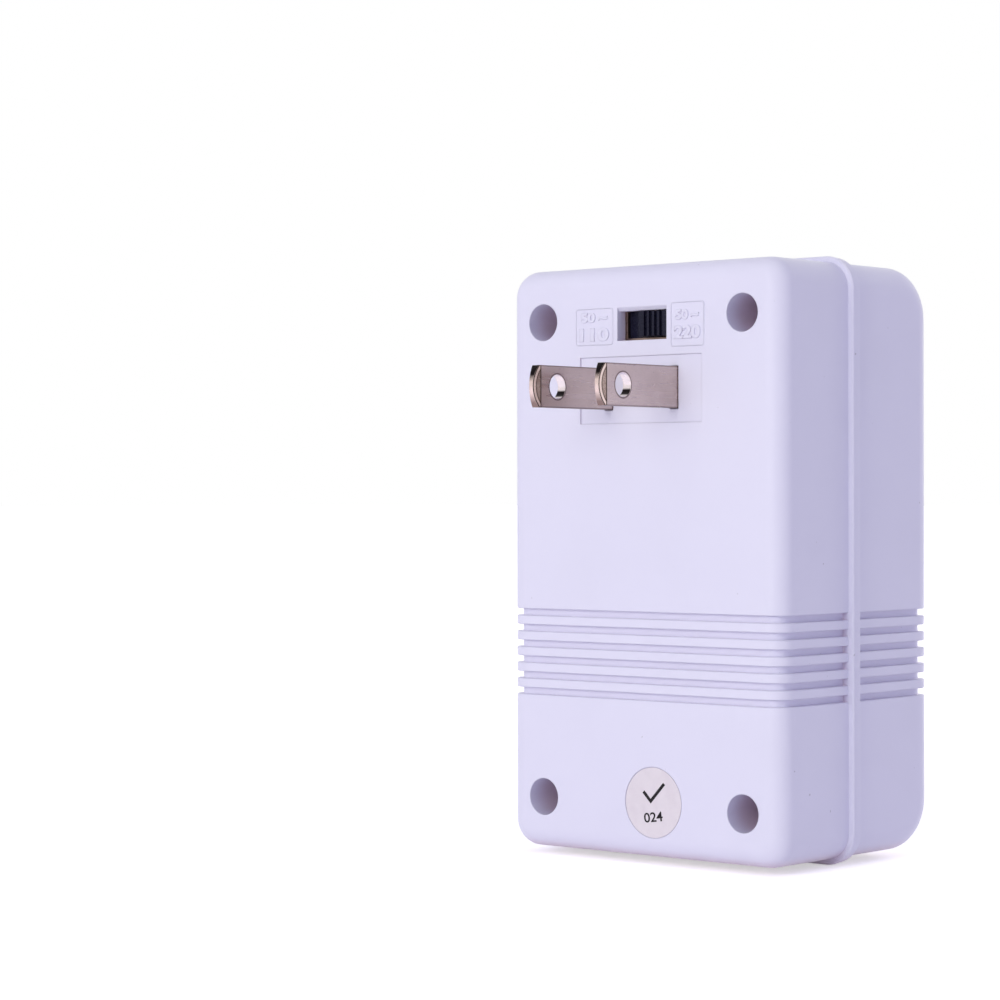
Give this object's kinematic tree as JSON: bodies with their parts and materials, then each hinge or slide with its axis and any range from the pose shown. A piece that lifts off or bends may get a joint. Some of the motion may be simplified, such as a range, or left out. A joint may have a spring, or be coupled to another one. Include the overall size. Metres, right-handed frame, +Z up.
{
  "type": "voltage transformer",
  "caption": "Plug-in voltage transformer with a flat-bladed plug, a voltage selector and a universal socket on a ribbed two-part housing.",
  "frame": {"origin": "centre of the plan outline, blades included, on the plane that the lower bead touches", "axes": "+X to the right seen from the socket, +Y out of the plug face along the blades, +Z up"},
  "size_m": [0.055, 0.06, 0.0928],
  "materials": {
    "housing_plastic": "smooth, slightly glossy moulded plastic",
    "plug_plastic": "smooth moulded plastic",
    "carrier_plastic": "brown heat-resistant plastic",
    "slider_plastic": "black moulded plastic",
    "bobbin_plastic": "natural nylon",
    "board_laminate": "brown phenolic board",
    "blade_metal": "nickel plated, satin",
    "contact_copper": "bare copper alloy sheet",
    "winding_copper": "enamelled copper wire",
    "steel": "zinc plated steel",
    "core_steel": "varnished silicon steel laminations",
    "tinned_lead": "tinned wire",
    "tape": "yellow polyester tape",
    "led_plastic": "clear red",
    "resistor_body": "painted ceramic",
    "fuse_body": "aluminium can",
    "wire_black": "insulated wire",
    "wire_white": "insulated wire",
    "wire_red": "insulated wire",
    "wire_yellow": "insulated wire",
    "label_paper": "plain white paper"
  },
  "bodies": {
    "housing": {"front_cover": "housing_plastic", "rear_cover": "housing_plastic", "case_screws": "steel", "socket_carrier": "carrier_plastic", "contact_retainer": "carrier_plastic", "contact_left": "contact_copper", "contact_right": "contact_copper", "contact_earth": "contact_copper", "carrier_screws": "steel", "plug_base": "plug_plastic", "plug_base_screws": "steel", "plug_blade_left": "blade_metal", "plug_blade_right": "blade_metal", "selector_frame": "steel", "selector_board": "board_laminate", "selector_terminals": "tinned_lead", "indicator_led": "led_plastic", "indicator_leads": "tinned_lead", "indicator_resistor": "resistor_body", "indicator_wires": "wire_red", "core_e_stack": "core_steel", "core_i_stack": "core_steel", "bobbin": "bobbin_plastic", "common_winding": "winding_copper", "series_winding": "winding_copper", "winding_tape": "tape", "thermal_fuse": "fuse_body", "wire_plug_live": "wire_black", "wire_plug_neutral": "wire_white", "wire_socket_live": "wire_black", "wire_winding_common": "wire_white", "wire_winding_high": "wire_red", "wire_winding_tap": "wire_yellow", "round_label": "label_paper"},
    "selector": {"selector_slider": "slider_plastic", "selector_bridges": "contact_copper"}
  },
  "joints": [
    {"name": "voltage_selector", "type": "slide", "parent": "housing", "child": "selector", "axis": [1, 0, 0], "range_m": [0, 0.0033]}
  ]
}
